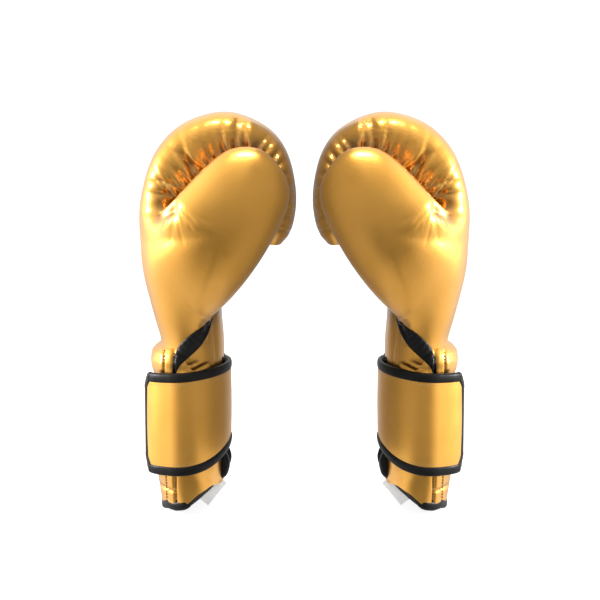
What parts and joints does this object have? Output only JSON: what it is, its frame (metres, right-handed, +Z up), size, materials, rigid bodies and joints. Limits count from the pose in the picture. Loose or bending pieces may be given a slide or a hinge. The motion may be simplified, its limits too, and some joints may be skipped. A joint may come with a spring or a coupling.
{
  "type": "pair of boxing gloves",
  "caption": "Pair of padded hook-and-loop boxing gloves, upright on their cuffs, with hinged thumbs and wrist straps that open.",
  "frame": {"origin": "centre of the pair on the floor: between the two gloves, at the height of the lowest cuff edge", "axes": "+Z up from the cuffs to the knuckles, +X from the left glove to the right one, -Y the side of the thumbs, which faces the viewer"},
  "size_m": [0.259, 0.1576, 0.312],
  "materials": {
    "gold_leather": "satin metallic",
    "strap_leather": "satin metallic",
    "black_binding": "semi-matt",
    "foam_padding": "matt, stands in for padding foam",
    "lining_cloth": "matt woven",
    "loop_pile": "napped",
    "hook_pile": "napped",
    "elastic_web": "ribbed",
    "white_label": "woven"
  },
  "bodies": {
    "left_glove": {"left_back_shell": "gold_leather", "left_palm_shell": "gold_leather", "left_knuckle_foam": "foam_padding", "left_palm_foam": "foam_padding", "left_back_lining": "lining_cloth", "left_palm_lining": "lining_cloth", "left_grip_bar": "foam_padding", "left_cuff_leather": "gold_leather", "left_cuff_foam": "foam_padding", "left_cuff_lining": "lining_cloth", "left_rim_binding": "black_binding", "left_slit_binding": "black_binding", "left_slit_elastic": "elastic_web", "left_side_panels": "gold_leather", "left_loop_panel": "loop_pile", "left_back_patch": "white_label", "left_palm_gusset": "black_binding", "left_care_label": "white_label", "left_strap_base": "strap_leather", "left_strap_base_core": "foam_padding", "left_strap_base_binding": "black_binding"},
    "left_thumb": {"left_thumb_shell": "gold_leather", "left_thumb_foam": "foam_padding", "left_thumb_lining": "lining_cloth"},
    "left_strap_wing": {"left_strap_wing": "strap_leather", "left_strap_wing_core": "foam_padding", "left_strap_wing_binding": "black_binding"},
    "left_strap_tip": {"left_strap_tip": "strap_leather", "left_hook_panel": "hook_pile", "left_strap_tip_binding": "black_binding"},
    "right_glove": {"right_back_shell": "gold_leather", "right_palm_shell": "gold_leather", "right_knuckle_foam": "foam_padding", "right_palm_foam": "foam_padding", "right_back_lining": "lining_cloth", "right_palm_lining": "lining_cloth", "right_grip_bar": "foam_padding", "right_cuff_leather": "gold_leather", "right_cuff_foam": "foam_padding", "right_cuff_lining": "lining_cloth", "right_rim_binding": "black_binding", "right_slit_binding": "black_binding", "right_slit_elastic": "elastic_web", "right_side_panels": "gold_leather", "right_loop_panel": "loop_pile", "right_back_patch": "white_label", "right_palm_gusset": "black_binding", "right_care_label": "white_label", "right_strap_base": "strap_leather", "right_strap_base_core": "foam_padding", "right_strap_base_binding": "black_binding"},
    "right_thumb": {"right_thumb_shell": "gold_leather", "right_thumb_foam": "foam_padding", "right_thumb_lining": "lining_cloth"},
    "right_strap_wing": {"right_strap_wing": "strap_leather", "right_strap_wing_core": "foam_padding", "right_strap_wing_binding": "black_binding"},
    "right_strap_tip": {"right_strap_tip": "strap_leather", "right_hook_panel": "hook_pile", "right_strap_tip_binding": "black_binding"}
  },
  "joints": [
    {"name": "left_thumb_flex", "type": "hinge", "parent": "left_glove", "child": "left_thumb", "pos_m": [-0.084, -0.0375, 0.148], "axis": [0.9292, 0, -0.3697], "range_deg": [0, 8], "stiffness_Nm_per_rad": 1.2},
    {"name": "left_strap_wing_fold", "type": "hinge", "parent": "left_glove", "child": "left_strap_wing", "pos_m": [-0.061, -0.0155, 0.078], "axis": [0, 0, 1], "range_deg": [0, 95]},
    {"name": "left_strap_tip_fold", "type": "hinge", "parent": "left_strap_wing", "child": "left_strap_tip", "pos_m": [-0.1032, -0.0382, 0.075], "axis": [0, 0, 1], "range_deg": [0, 60]},
    {"name": "right_thumb_flex", "type": "hinge", "parent": "right_glove", "child": "right_thumb", "pos_m": [0.084, -0.0375, 0.148], "axis": [0.9292, 0, 0.3697], "range_deg": [0, 8], "stiffness_Nm_per_rad": 1.2},
    {"name": "right_strap_wing_fold", "type": "hinge", "parent": "right_glove", "child": "right_strap_wing", "pos_m": [0.061, -0.0155, 0.078], "axis": [0, 0, -1], "range_deg": [0, 95]},
    {"name": "right_strap_tip_fold", "type": "hinge", "parent": "right_strap_wing", "child": "right_strap_tip", "pos_m": [0.1032, -0.0382, 0.075], "axis": [0, 0, -1], "range_deg": [0, 60]},
    {"name": "right_glove_apart", "type": "slide", "parent": "left_glove", "child": "right_glove", "axis": [1, 0, 0], "range_m": [0, 0.15]}
  ]
}
